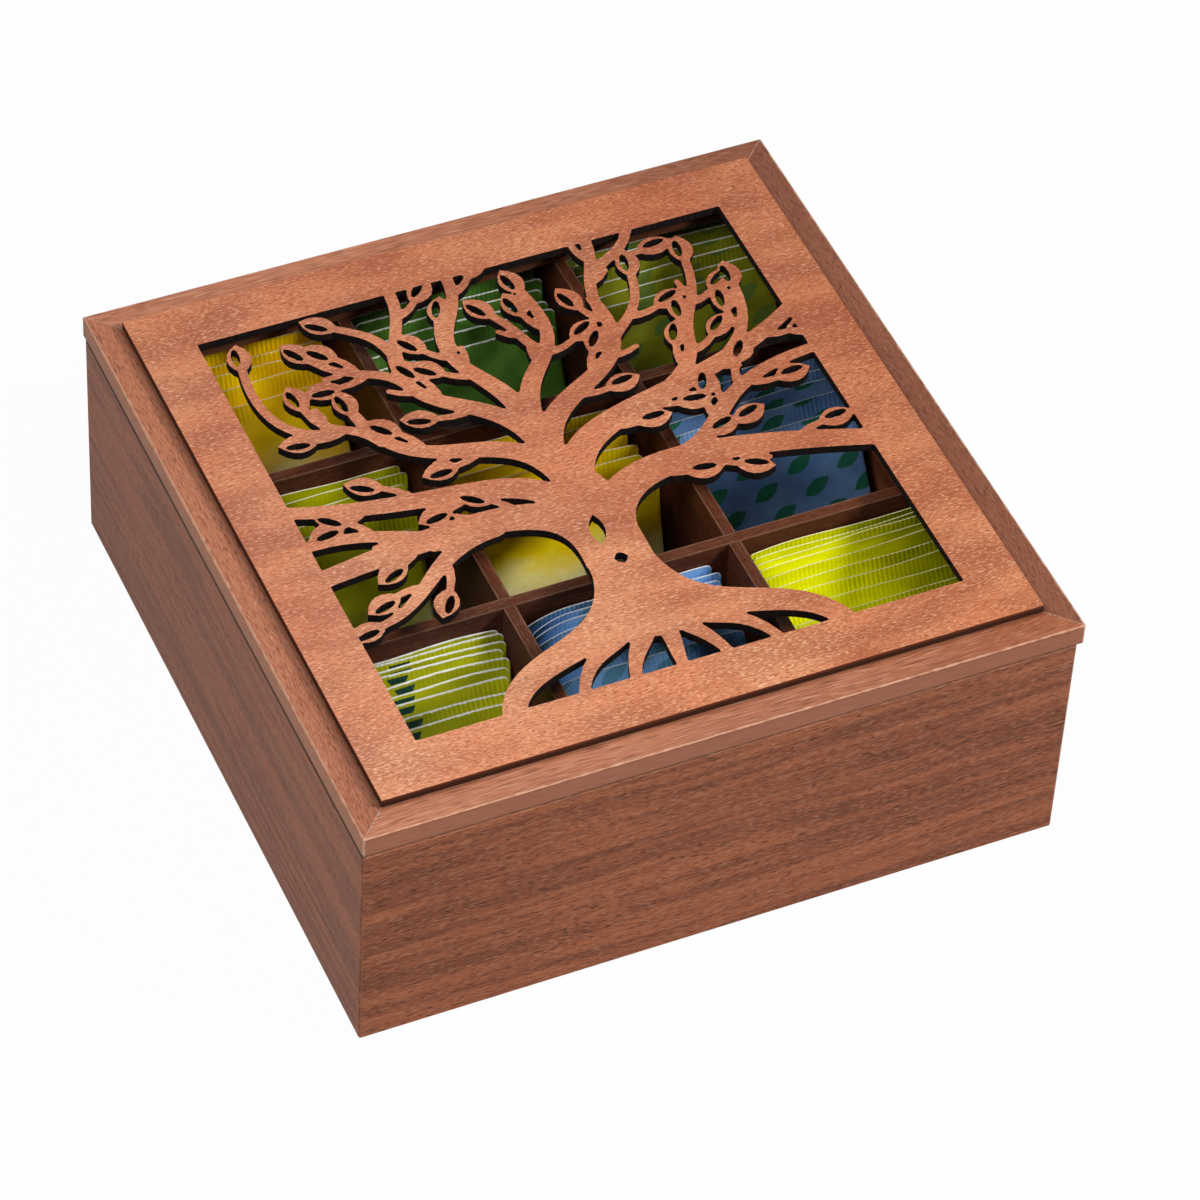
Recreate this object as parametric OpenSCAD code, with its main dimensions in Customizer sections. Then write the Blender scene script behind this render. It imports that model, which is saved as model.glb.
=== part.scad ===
// Tea bag organizer box: a mitred box with nine compartments under a hinged window lid.
// Millimetres, +X to the right along the front, +Y to the back, +Z up.
// The origin is the middle of the underside.

/* [Box] */
// Outside width of the box body
box_w = 238; // [232:1:420]
// Outside depth of the box body
box_d = 238; // [234:1:420]
// Height of the box body without its lid
box_h = 84.4; // [82:0.2:140]
// Thickness of the four walls
wall_t = 6; // [5:0.5:12]
// Chamfer on the outer edges of the walls
wall_ease = 0.8; // [0.2:0.1:1.5]

/* [Base] */
// Thickness of the base panel
base_t = 3; // [2:0.5:6]
// How far the base panel reaches under each wall
base_lap = 3; // [1.5:0.5:4]
// Play round the base panel in its rabbet
base_play = 0.1; // [0.05:0.05:0.4]

/* [Dividers] */
// Thickness of the dividers
divider_t = 4; // [2:0.5:6]
// How far the dividers stay below the top of the walls
divider_drop = 0.2; // [0:0.1:4]
// Play on each side of a divider in a half-lap slot
slot_play = 0.15; // [0.05:0.05:0.4]
// Play between a divider's end and the wall
divider_play = 0.2; // [0.05:0.05:0.6]

/* [Lid] */
// Width of the lid rails
rail_w = 24; // [18:0.5:34]
// Thickness of the lid rails
rail_t = 8; // [6:0.5:14]
// Seam between the walls and the closed lid
lid_seam = 0.3; // [0.2:0.05:1]
// How far the lid passes the left wall
overhang_left = 0; // [0:0.5:4]
// How far the lid passes the right wall
overhang_right = 2; // [0:0.5:4]
// How far the lid passes the front wall
overhang_front = 0; // [0:0.5:4]
// How far the lid passes the back wall
overhang_back = 2; // [1.6:0.1:4]
// Chamfer on the outer edges of the lid rails
rail_ease = 0.5; // [0.2:0.1:1.5]

/* [Window] */
// Thickness of the clear pane
pane_t = 2; // [1:0.5:3]
// How far the pane rests on the lid rails
pane_lap = 6; // [3:0.5:8]
// Play round the pane in its rabbet
pane_play = 0.3; // [0.1:0.1:1]

/* [Fretwork panel] */
// Outside width and depth of the panel
fret_w = 220; // [210:1:226]
// Thickness of the panel
fret_t = 3; // [2:0.5:5]
// Width of the plain border round the tree
fret_border = 18.5; // [14:0.5:24]
// Length of a leaf
leaf_l = 13.5; // [9:0.5:15]
// Width of a leaf
leaf_w = 8.2; // [5:0.2:9]
// Width of the slit in a leaf
slit_w = 2.8; // [1:0.2:3]
// Length of the slit in a leaf
slit_l = 8; // [4:0.5:8]
// Distance of the slit from the middle of its leaf
slit_side = 1.1; // [0:0.1:1.3]
// Width of a twig where it ends
twig_w = 2.4; // [1.8:0.1:3.4]
// Radius of the inner corners where limbs and leaves meet
cut_r = 0.5; // [0.2:0.1:0.8]
// Width of the line that the cutter burns away
kerf = 0.1; // [0.05:0.05:0.3]

/* [Hinges] */
// Length of a hinge
hinge_l = 25; // [20:1:40]
// Distance from the box's side to the middle of a hinge
hinge_in = 45; // [30:1:70]
// Thickness of the hinge leaves
leaf_t = 1; // [0.6:0.1:1.4]
// Outer radius of the knuckles
knuckle_r = 1.6; // [1.4:0.1:2]
// Radius of the hinge pin
pin_r = 0.75; // [0.5:0.05:0.9]
// Radial play between the pin and the lid knuckle
pin_play = 0.06; // [0.03:0.01:0.1]
// Radial play between the pin and the box knuckles
pin_grip = 0.02; // [0.01:0.01:0.03]
// Play between neighbouring knuckles
knuckle_play = 0.15; // [0.1:0.05:0.4]
// Lid angle at which its overhanging edge comes to rest on the back wall
open_angle = 100; // [95:1:110]
// Room left between that edge and the wall at that angle
stop_gap = 0.09; // [0.05:0.01:0.2]
// Play round a hinge in its mortises
mortise_play = 0.3; // [0.1:0.05:0.5]
// Distance from the wall's inner face to a hinge leaf
leaf_set = 0.8; // [0.4:0.1:1.5]
// Distance from a leaf's end to its screws
screw_in = 5; // [3:0.5:8]
// Radius of the screw shanks
screw_r = 0.8; // [0.6:0.1:1]
// Radius of the countersunk screw heads
screw_head_r = 1.4; // [1.2:0.1:1.6]
// Length of the screws
screw_l = 7; // [4:0.5:7.5]
// Radial play of the screws in their holes
screw_play = 0.04; // [0.02:0.01:0.1]

/* [Tea sachets] */
// Room beside a sachet in its compartment
sachet_room = 6.7; // [2:0.1:16]
// Height of a sachet
sachet_h = 76; // [55:0.5:77]
// Height of the crimped band at each end of a sachet
crimp_h = 7; // [4:0.5:10]
// Thickness of the crimped band
crimp_t = 0.7; // [0.4:0.1:1]
// Greatest thickness of a plump sachet
belly_t = 5; // [3:0.1:5.2]
// Space kept between neighbouring sachets
sachet_gap = 0.35; // [0.3:0.05:1]
// How far the sachets stay above the base panel
sachet_lift = 0.1; // [0.05:0.05:0.5]

/* [Hidden] */
$fn = 48;
past = 1;

// The box
left_x = -box_w / 2;
right_x = box_w / 2;
front_y = -box_d / 2;
back_y = box_d / 2;
inner_w = box_w - 2 * wall_t;
inner_d = box_d - 2 * wall_t;
seam_ease = 0.3;

// The compartments, three each way
cell_w = (inner_w - 2 * divider_t) / 3;
cell_d = (inner_d - 2 * divider_t) / 3;
divider_x = (cell_w + divider_t) / 2;
divider_y = (cell_d + divider_t) / 2;
divider_top = box_h - divider_drop;
lap_z = (base_t + divider_top) / 2;
sachet_w = cell_w - sachet_room;

// The lid
lid_z = box_h + lid_seam;
lid_top = lid_z + rail_t;
lid_w = box_w + overhang_left + overhang_right;
lid_d = box_d + overhang_front + overhang_back;
lid_x = (overhang_right - overhang_left) / 2;
lid_y = (overhang_back - overhang_front) / 2;
pane_z = lid_top - pane_t;
pane_w = lid_w - 2 * (rail_w - pane_lap + pane_play);
pane_d = lid_d - 2 * (rail_w - pane_lap + pane_play);

// The hinges: a lid turned by open_angle has its lower back edge stop_gap from the wall
turn = -cos(open_angle);
pin_back = (turn * overhang_back - sin(open_angle) * lid_seam / 2 + stop_gap) / (1 + turn);
pin_y = back_y + pin_back;
pin_z = box_h + lid_seam / 2;
hinge_x = box_w / 2 - hinge_in;
knuckle_l = (hinge_l - 2 * knuckle_play) / 3;
knuckle_room = knuckle_r + mortise_play;
leaf_reach = pin_back + wall_t - leaf_set;
screw_y = -(leaf_reach + knuckle_room) / 2;
screw_x = hinge_l / 2 - screw_in;
screw_point_r = screw_r / 4;
screw_tip = 7.5 * screw_point_r;
slot_w = 2 * screw_point_r;
slot_deep = (screw_head_r - screw_r) / 2;

// A straight piece along X with mitred ends and its outer face on y = 0. The profile
// gives [distance from the outer face, height].
module mitred(length, width, height, corner, profile) {
    half = length / 2;
    intersection() {
        translate([-half, 0, 0])
            rotate([90, 0, 90])
                linear_extrude(length)
                    polygon(profile);
        linear_extrude(height)
            polygon([
                [corner - half, 0], [half - corner, 0], [half - corner / 2, corner / 2],
                [half - width, width], [width - half, width], [corner / 2 - half, corner / 2]
            ]);
    }
}

// ---- Box ----

module wall(length) {
    mitred(length, wall_t, box_h, wall_ease, [
        [wall_ease, 0],
        [wall_t - base_lap, 0],
        [wall_t - base_lap, base_t],
        [wall_t, base_t],
        [wall_t, box_h],
        [seam_ease, box_h],
        [0, box_h - seam_ease],
        [0, wall_ease]
    ]);
}

module front_wall() {
    color("#7d4b38")
        translate([0, front_y, 0])
            wall(box_w);
}

module back_wall() {
    color("#7d4b38")
        difference() {
            translate([0, back_y, 0])
                rotate(180)
                    wall(box_w);
            at_hinges() {
                leaf_mortise(-1);
                leaf_screws(-1, screw_play);
            }
        }
}

module left_wall() {
    color("#74503f")
        translate([left_x, 0, 0])
            rotate(-90)
                wall(box_d);
}

module right_wall() {
    color("#74503f")
        translate([right_x, 0, 0])
            rotate(90)
                wall(box_d);
}

module base_panel() {
    base_w = box_w - 2 * (wall_t - base_lap + base_play);
    base_d = box_d - 2 * (wall_t - base_lap + base_play);
    color("#5d3a2c")
        translate([-base_w / 2, -base_d / 2, 0])
            cube([base_w, base_d, base_t]);
}

// ---- Dividers: an egg-crate grid with half-lap slots ----

module cross_divider(y) {
    length = inner_w - 2 * divider_play;
    slot = divider_t + 2 * slot_play;
    color("#5b3428")
        difference() {
            translate([-length / 2, y - divider_t / 2, base_t])
                cube([length, divider_t, divider_top - base_t]);
            for (x = [-divider_x, divider_x])
                translate([x - slot / 2, y - divider_t / 2 - past, base_t - past])
                    cube([slot, divider_t + 2 * past, lap_z + slot_play - base_t + past]);
        }
}

module long_divider(x) {
    length = inner_d - 2 * divider_play;
    slot = divider_t + 2 * slot_play;
    color("#5b3428")
        difference() {
            translate([x - divider_t / 2, -length / 2, base_t])
                cube([divider_t, length, divider_top - base_t]);
            for (y = [-divider_y, divider_y])
                translate([x - divider_t / 2 - past, y - slot / 2, lap_z])
                    cube([divider_t + 2 * past, slot, divider_top - lap_z + past]);
        }
}

module front_divider() {
    cross_divider(-divider_y);
}

module rear_divider() {
    cross_divider(divider_y);
}

module left_divider() {
    long_divider(-divider_x);
}

module right_divider() {
    long_divider(divider_x);
}

// ---- Hinges: side -1 is the box leaf below the seam, side 1 the lid leaf above it ----

module at_hinge(x) {
    translate([x, pin_y, pin_z])
        children();
}

module at_hinges() {
    for (x = [-hinge_x, hinge_x])
        at_hinge(x)
            children();
}

// A leaf with knuckles along its whole length, on the given side of the seam
module leaf_blank(side, play) {
    z0 = side > 0 ? lid_seam / 2 : -lid_seam / 2 - leaf_t;
    rotate([90, 0, 90])
        linear_extrude(hinge_l, center = true)
            difference() {
                union() {
                    circle(r = knuckle_r);
                    translate([-leaf_reach, z0])
                        square([leaf_reach, leaf_t]);
                }
                circle(r = pin_r + play);
            }
}

// The room for the other leaf's knuckles, from x0 to x1
module knuckle_gap(x0, x1) {
    translate([x0, -knuckle_room, -knuckle_room])
        cube([x1 - x0, 2 * knuckle_room, 2 * knuckle_room]);
}

// The screws of one leaf, with their heads flush in it
module leaf_screws(side, play) {
    head_h = screw_head_r - screw_r;
    for (x = [-screw_x, screw_x])
        translate([x, screw_y, side * lid_seam / 2])
            mirror([0, 0, side > 0 ? 1 : 0]) {
                translate([0, 0, -head_h])
                    cylinder(r1 = screw_r + play, r2 = screw_head_r + play, h = head_h);
                translate([0, 0, screw_tip - screw_l])
                    cylinder(r = screw_r + play, h = screw_l - screw_tip);
                translate([0, 0, -screw_l])
                    cylinder(r1 = screw_point_r + play, r2 = screw_r + play, h = screw_tip);
            }
}

// A pocket that is open at the seam, from y0 to y1 and deep below the pin's plane
module pocket(side, y0, y1, deep) {
    length = hinge_l + 2 * mortise_play;
    translate([-length / 2, y0, side > 0 ? 0 : -deep])
        cube([length, y1 - y0, deep]);
}

// The pocket for a leaf and the notch for the knuckles
module leaf_mortise(side) {
    pocket(side, -leaf_reach - mortise_play, 0, lid_seam / 2 + leaf_t);
    pocket(side, -knuckle_room, overhang_back + past, knuckle_room);
}

module box_leaf() {
    gap = knuckle_l / 2 + knuckle_play;
    color("#b08a3e")
        difference() {
            leaf_blank(-1, pin_grip);
            knuckle_gap(-gap, gap);
            leaf_screws(-1, screw_play);
        }
}

module lid_leaf() {
    end = hinge_l / 2 + past;
    color("#b08a3e")
        difference() {
            leaf_blank(1, pin_play);
            knuckle_gap(-end, -knuckle_l / 2);
            knuckle_gap(knuckle_l / 2, end);
            leaf_screws(1, screw_play);
        }
}

module hinge_pin() {
    color("#c9a55a")
        rotate([0, 90, 0])
            cylinder(r = pin_r, h = hinge_l, center = true);
}

// Screws with a straight driver slot
module slotted_screws(side) {
    color("#c9a55a")
        difference() {
            leaf_screws(side, 0);
            for (x = [-screw_x, screw_x])
                translate([x - screw_head_r, screw_y - slot_w / 2, side * lid_seam / 2 - slot_deep])
                    cube([2 * screw_head_r, slot_w, 2 * slot_deep]);
        }
}

module left_hinge_box_leaf() {
    at_hinge(-hinge_x)
        box_leaf();
}

module right_hinge_box_leaf() {
    at_hinge(hinge_x)
        box_leaf();
}

module left_hinge_lid_leaf() {
    at_hinge(-hinge_x)
        lid_leaf();
}

module right_hinge_lid_leaf() {
    at_hinge(hinge_x)
        lid_leaf();
}

module left_hinge_pin() {
    at_hinge(-hinge_x)
        hinge_pin();
}

module right_hinge_pin() {
    at_hinge(hinge_x)
        hinge_pin();
}

module box_hinge_screws() {
    at_hinges()
        slotted_screws(-1);
}

module lid_hinge_screws() {
    at_hinges()
        slotted_screws(1);
}

// ---- Lid ----

module rail(length) {
    mitred(length, rail_w, rail_t, rail_ease, [
        [seam_ease, 0],
        [rail_w, 0],
        [rail_w, rail_t - pane_t],
        [rail_w - pane_lap, rail_t - pane_t],
        [rail_w - pane_lap, rail_t],
        [rail_ease, rail_t],
        [0, rail_t - rail_ease],
        [0, seam_ease]
    ]);
}

module lid_front_rail() {
    color("#9a5f48")
        translate([lid_x, front_y - overhang_front, lid_z])
            rail(lid_w);
}

module lid_back_rail() {
    color("#9a5f48")
        difference() {
            translate([lid_x, back_y + overhang_back, lid_z])
                rotate(180)
                    rail(lid_w);
            at_hinges() {
                leaf_mortise(1);
                leaf_screws(1, screw_play);
            }
        }
}

module lid_left_rail() {
    color("#8d5a45")
        translate([left_x - overhang_left, lid_y, lid_z])
            rotate(-90)
                rail(lid_d);
}

module lid_right_rail() {
    color("#8d5a45")
        translate([right_x + overhang_right, lid_y, lid_z])
            rotate(90)
                rail(lid_d);
}

module window_pane() {
    color([0.85, 0.9, 0.9, 0.3])
        translate([lid_x - pane_w / 2, lid_y - pane_d / 2, pane_z])
            cube([pane_w, pane_d, pane_t]);
}

// ---- Fretwork panel ----

// The tree is drawn on a grid on which the window runs from -100 to 100 each way
window_w = fret_w - 2 * fret_border;
grid = window_w / 200;
// The widths and lengths in the lists below are those of a window of 183
drawn = window_w / 183;
slit_tip = 2.2 * drawn;
slit_x = leaf_l - slit_tip - slit_l / 2;
leaf_grip = drawn;
oval_power = 0.8;
twig_flare = drawn;
twig_bends = [62, 50, 40];
spur_w = [3, 2] * drawn;

// How finely the outline is drawn
curve_step = 4.5 * drawn;
leaf_steps = 6;
end_fn = 12;
inner_fn = 6;
slit_fn = 9;

// Trunk, roots and limbs: four curve points on the grid, then the widths at both ends
limbs = [
    // 0: trunk, then the roots
    [[-4, -74], [-6, -56], [-2, -40], [-4, -14], 23, 20],
    [[-7, -40], [-10, -96], [-58, -70], [-67, -106], 14, 7],
    [[-1, -40], [2, -96], [48, -70], [57, -106], 14, 7],
    [[-14, -76], [-22, -88], [-34, -82], [-42, -106], 8, 3],
    [[-8, -78], [-14, -90], [-18, -88], [-23, -106], 8, 3],
    [[-3, -78], [-1, -90], [-5, -94], [-4, -106], 7, 3],
    [[0, -78], [8, -90], [10, -90], [14, -106], 7, 3],
    [[6, -77], [14, -88], [26, -82], [33, -106], 8, 3],
    // 8: lower left limb, 9: its drooping branch, 10: its upper branch
    [[-8, -48], [-6, -12], [-36, -12], [-106, -22], 15, 7],
    [[-38, -20], [-64, -22], [-70, -44], [-90, -48], 7, 3],
    [[-48, -18], [-62, -20], [-76, -2], [-106, -6], 6, 4],
    // 11: lower right limb, 12: its upper branch
    [[-1, -48], [-2, -4], [40, -4], [106, -28], 15, 7],
    [[32, -11], [60, -8], [52, 20], [106, 22], 7, 4],
    // 13: middle left limb, 14 and 15: the limb over it and its fork
    [[-7, -26], [-16, 10], [-52, -8], [-106, 14], 11, 5],
    [[-6, -8], [-12, 32], [-56, 4], [-62, 48], 9, 4],
    [[-58, 32], [-64, 46], [-75, 40], [-77, 56], 4, 3],
    // 16: upper left limb, 17 to 19: its forks
    [[-7, 6], [-8, 46], [-48, 34], [-38, 72], 8, 4],
    [[-39, 54], [-44, 68], [-56, 62], [-66, 78], 4, 3],
    [[-38, 66], [-36, 82], [-26, 86], [-28, 106], 4, 4],
    [[-38, 70], [-40, 82], [-44, 84], [-52, 90], 4, 3],
    // 20 and 21: crown left of the middle
    [[-7, 18], [-4, 50], [-28, 54], [-17, 80], 8, 3.5],
    [[-18, 66], [-18, 80], [-4, 84], [-6, 106], 4, 4],
    // 22 and 23: crown right of the middle
    [[-6, 18], [-2, 56], [24, 44], [16, 84], 7.5, 3.5],
    [[12, 52], [6, 62], [8, 66], [2, 76], 4, 3],
    // 24: upper right limb, 25 and 26: its forks
    [[-6, 4], [0, 42], [46, 26], [38, 72], 9, 4],
    [[38, 64], [38, 84], [48, 86], [48, 106], 4, 4],
    [[35, 48], [42, 58], [52, 58], [56, 78], 4, 3],
    // 27: right limb, 28 to 30: its forks
    [[-4, -16], [2, 28], [50, 8], [106, 46], 12, 5],
    [[40, 17], [52, 28], [60, 26], [64, 50], 6, 3.5],
    [[62, 42], [66, 56], [74, 58], [77, 78], 4, 3],
    [[66, 26], [76, 32], [86, 40], [88, 60], 5, 3],
    // 31: upper trunk, 32 and 33: the outermost crown
    [[-4, -26], [-2, -8], [-9, 6], [-6, 26], 15, 7],
    [[43, 82], [50, 92], [60, 88], [66, 106], 4, 3.5],
    [[-72, 43], [-88, 44], [-94, 60], [-90, 82], 3.5, 3]
];

// Leafy twigs: their limb, how far along it they start, their side and their length.
// A side of 0 puts a leaf on the limb's own end.
twigs = [
    [8, 0.46, -1, 12], [8, 0.78, 1, 9],
    [9, 0.36, 1, 12], [9, 0.6, -1, 9], [9, 1, 0, 0],
    [10, 0.62, -1, 9],
    [11, 0.46, -1, 11], [11, 0.62, -1, 12], [11, 0.6, 1, 11], [11, 0.84, 1, 11],
    [12, 0.3, -1, 9], [12, 0.4, 1, 11], [12, 0.66, 1, 11], [12, 0.7, -1, 10],
    [13, 0.5, 1, 9], [13, 0.66, -1, 12], [13, 0.8, 1, 10],
    [14, 0.42, 1, 10], [14, 0.66, -1, 11], [14, 1, 0, 0],
    [15, 0.45, 1, 10], [15, 1, 0, 0],
    [16, 0.42, 1, 12], [16, 0.6, -1, 11],
    [17, 0.5, 1, 10], [17, 0.6, -1, 9], [17, 1, 0, 0],
    [18, 0.6, -1, 9],
    [19, 1, 0, 0],
    [20, 0.5, 1, 10], [20, 0.72, 1, 9], [20, 1, 0, 0],
    [21, 0.74, -1, 9],
    [22, 0.56, -1, 11], [22, 0.78, 1, 9], [22, 1, 0, 0],
    [23, 1, 0, 0],
    [24, 0.38, -1, 11], [24, 0.54, 1, 10], [24, 0.9, 1, 10],
    [25, 0.66, 1, 9],
    [26, 0.5, -1, 10], [26, 1, 0, 0],
    [27, 0.36, -1, 10], [27, 0.52, -1, 10], [27, 0.88, -1, 9],
    [28, 0.5, 1, 10], [28, 0.72, -1, 10], [28, 1, 0, 0],
    [29, 0.5, -1, 9], [29, 1, 0, 0],
    [30, 0.55, 1, 9], [30, 1, 0, 0],
    [32, 0.45, -1, 9], [33, 1, 0, 0]
];

// Bare spurs, in the same terms
spurs = [
    [8, 0.6, -1, 9], [9, 0.22, -1, 8], [11, 0.72, -1, 10], [12, 0.52, 1, 10], [13, 0.58, 1, 10],
    [14, 0.54, 1, 8], [15, 0.7, -1, 8], [16, 0.74, 1, 9], [20, 0.6, -1, 9], [21, 0.4, 1, 8],
    [22, 0.46, 1, 10], [23, 0.5, 1, 7], [24, 0.68, -1, 10], [25, 0.34, -1, 8], [27, 0.62, 1, 10],
    [27, 0.74, -1, 8], [29, 0.6, 1, 8], [17, 0.72, 1, 7], [10, 0.5, 1, 8]
];

// Openings in the trunk: place on the grid, length, width and direction
knots = [
    [[-7, -40], 13, 5, 80],
    [[-6, -48], 4.5, 4.5, 0]
];

// A point of a cubic curve through the control points c, and its direction there
function curve_at(c, t) =
    pow(1 - t, 3) * c[0] + 3 * pow(1 - t, 2) * t * c[1]
    + 3 * (1 - t) * t * t * c[2] + pow(t, 3) * c[3];
function curve_way(c, t) =
    let(
        v = pow(1 - t, 2) * (c[1] - c[0]) + 2 * (1 - t) * t * (c[2] - c[1])
            + t * t * (c[3] - c[2])
    )
    v / norm(v);
// Steps for a curve whose length lies between its chord and its control points' path
function curve_steps(c) =
    let(
        path = norm(c[1] - c[0]) + norm(c[2] - c[1]) + norm(c[3] - c[2]),
        chord = norm(c[3] - c[0])
    )
    ceil((path + chord) / 2 / curve_step);
function left_of(v) = [-v[1], v[0]];
function turned(v, a) = v * cos(a) + left_of(v) * sin(a);

// A strip along a curve that tapers from width w0 to w1, with round ends
module tapered(c, w0, w1) {
    steps = curve_steps(c);
    polygon([
        for (side = [1, -1])
            for (k = [0:steps])
                let(t = side > 0 ? k / steps : 1 - k / steps)
                curve_at(c, t) + side * (w0 + (w1 - w0) * t) / 2 * left_of(curve_way(c, t))
    ]);
    translate(c[0])
        circle(r = w0 / 2, $fn = end_fn);
    translate(c[3])
        circle(r = w1 / 2, $fn = end_fn);
}

// A pointed oval from the origin along +X
module pointed_oval(length, width, steps) {
    polygon([
        for (side = [1, -1])
            for (k = [0:steps - 1])
                let(u = side > 0 ? k / steps : 1 - k / steps)
                [u * length, side * width / 2 * pow(sin(180 * u), oval_power)]
    ]);
}

// Puts its children at the end of a twig, pointing along it
module at_tip(tip, way) {
    translate(tip)
        rotate(atan2(way[1], way[0]))
            children();
}

function twig_curve(twig) =
    let(
        c = [for (k = [0:3]) limbs[twig[0]][k] * grid],
        start = curve_at(c, twig[1]),
        way = curve_way(c, twig[1]),
        reach = twig[3] * drawn
    )
    [
        start,
        start + reach / 3 * turned(way, twig[2] * twig_bends[0]),
        start + reach * 2 / 3 * turned(way, twig[2] * twig_bends[1]),
        start + reach * turned(way, twig[2] * twig_bends[2])
    ];

function twig_way(twig) =
    twig[2] == 0
        ? curve_way([for (k = [0:3]) limbs[twig[0]][k]], 1)
        : curve_way(twig_curve(twig), 1);

module at_leaf(twig) {
    at_tip(twig_curve(twig)[3], twig_way(twig))
        translate([-leaf_grip, 0])
            children();
}

// The tree and its border, with the inner corners rounded
module tree() {
    offset(r = -cut_r, $fn = inner_fn)
        offset(delta = cut_r)
            union() {
                difference() {
                    square(fret_w + kerf, center = true);
                    square(window_w - kerf, center = true);
                }
                intersection() {
                    square(window_w + fret_border, center = true);
                    union() {
                        for (limb = limbs)
                            tapered(
                                [for (k = [0:3]) limb[k] * grid],
                                limb[4] * drawn,
                                limb[5] * drawn
                            );
                        for (twig = twigs) {
                            if (twig[2] != 0)
                                tapered(twig_curve(twig), twig_w + twig_flare, twig_w);
                            at_leaf(twig)
                                pointed_oval(leaf_l, leaf_w, leaf_steps);
                        }
                        for (spur = spurs)
                            tapered(twig_curve(spur), spur_w[0], spur_w[1]);
                    }
                }
            }
}

module leaf_slit() {
    translate([slit_x, slit_side])
        scale([slit_l, slit_w])
            circle(d = 1, $fn = slit_fn);
}

// The tree with its leaf slits and knots, less half the kerf all round
module fretwork_outline() {
    offset(delta = -kerf / 2)
        difference() {
            tree();
            intersection() {
                square(window_w, center = true);
                for (twig = twigs)
                    at_leaf(twig)
                        leaf_slit();
            }
            for (knot = knots)
                translate(knot[0] * grid)
                    rotate(knot[3])
                        pointed_oval(knot[1] * drawn, knot[2] * drawn, leaf_steps);
        }
}

module fretwork_panel() {
    color("#c8825f")
        translate([lid_x, lid_y, lid_top])
            linear_extrude(fret_t)
                fretwork_outline();
}

// ---- Tea sachets: a leaning stack in each compartment ----

belly_steps = 6;
fill_h = sachet_h - 2 * crimp_h;

// Thickness of a sachet with the given belly at a height along it
function sachet_t(belly, h) =
    let(u = min(max((h - crimp_h) / fill_h, 0), 1))
    crimp_t + (belly - crimp_t) * sqrt(sin(180 * u));

// How far forward a sachet that leans by b stands, to lie on one that leans by a
function sachet_step(belly, a, b) =
    max([
        for (share = [0.2:0.1:1])
            let(h = share * sachet_h)
            sachet_t(belly, h) / cos(b) + sachet_gap + h * cos(b) * (tan(b) - tan(a))
    ]);

// The lean of sachet k, and its distance forward from the rear one
function sachet_lean(leans, count, k) = leans[0] + (leans[1] - leans[0]) * k / (count - 1);
function sachet_place(belly, leans, count, k) =
    k == 0
        ? 0
        : sachet_place(belly, leans, count, k - 1)
            + sachet_step(
                belly,
                sachet_lean(leans, count, k - 1),
                sachet_lean(leans, count, k)
            );

// One filled sachet on its lower edge, with flat crimped bands at both ends
module sachet(belly) {
    side = [
        [crimp_t / 2, 0],
        for (k = [0:belly_steps])
            let(h = crimp_h + fill_h * k / belly_steps)
            [sachet_t(belly, h) / 2, h],
        [crimp_t / 2, sachet_h]
    ];
    rotate([90, 0, 90])
        linear_extrude(sachet_w)
            polygon([
                for (p = side) p,
                for (k = [len(side) - 1:-1:0]) [-side[k][0], side[k][1]]
            ]);
}

// A stack in the compartment of column and row -1, 0 or 1, with bellies of the share
// plump of the greatest. Each sachet leans back on the one behind it, from leans[0]
// degrees at the rear to leans[1] at the front. The two sides say where the first and
// the last one stand, from 0 at the left to 1 at the right.
module sachet_stack(column, row, count, plump, leans, sides) {
    belly = plump * belly_t;
    rear_reach = max([
        for (share = [0.5:0.1:1])
            let(h = share * sachet_h)
            h * sin(leans[0]) + sachet_t(belly, h) / 2 * cos(leans[0])
    ]);
    rear_y = row * (cell_d + divider_t) + cell_d / 2 - sachet_gap - rear_reach;
    start_x = column * (cell_w + divider_t) - cell_w / 2 + sachet_gap;
    free_w = cell_w - sachet_w - 2 * sachet_gap;
    for (k = [0:count - 1]) {
        lean = sachet_lean(leans, count, k);
        side = sides[0] + (sides[1] - sides[0]) * k / (count - 1);
        translate([
            start_x + free_w * side,
            rear_y - sachet_place(belly, leans, count, k),
            base_t + sachet_lift + crimp_t / 2 * sin(lean)
        ])
            rotate([-lean, 0, 0])
                sachet(belly);
    }
}

module sachets_front_left() {
    color("#86ad25")
        sachet_stack(-1, -1, 9, 0.6, [6, 36], [0.9, 0.1]);
}

module sachets_front_middle() {
    color("#4a7cc0")
        sachet_stack(0, -1, 8, 0.7, [6, 32], [0.2, 0.4]);
}

module sachets_front_right() {
    color("#c3d80b")
        sachet_stack(1, -1, 9, 0.6, [6, 38], [0.3, 0.6]);
}

module sachets_centre_left() {
    color("#7f9f13")
        sachet_stack(-1, 0, 6, 0.9, [8, 34], [0.6, 0.3]);
}

module sachets_centre_middle() {
    color("#d9c417")
        sachet_stack(0, 0, 7, 1.2, [8, 16], [0.2, 0]);
}

module sachets_centre_right() {
    color("#3c66a0")
        sachet_stack(1, 0, 6, 0.9, [8, 35], [0.4, 0.3]);
}

module sachets_rear_left() {
    color("#dcc60f")
        sachet_stack(-1, 1, 7, 0.9, [8, 34], [0.5, 0.3]);
}

module sachets_rear_middle() {
    color("#2c6a35")
        sachet_stack(0, 1, 8, 0.9, [7, 30], [0.5, 0.4]);
}

module sachets_rear_right() {
    color("#7d8f1f")
        sachet_stack(1, 1, 8, 0.9, [7, 30], [0.5, 0.6]);
}

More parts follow.
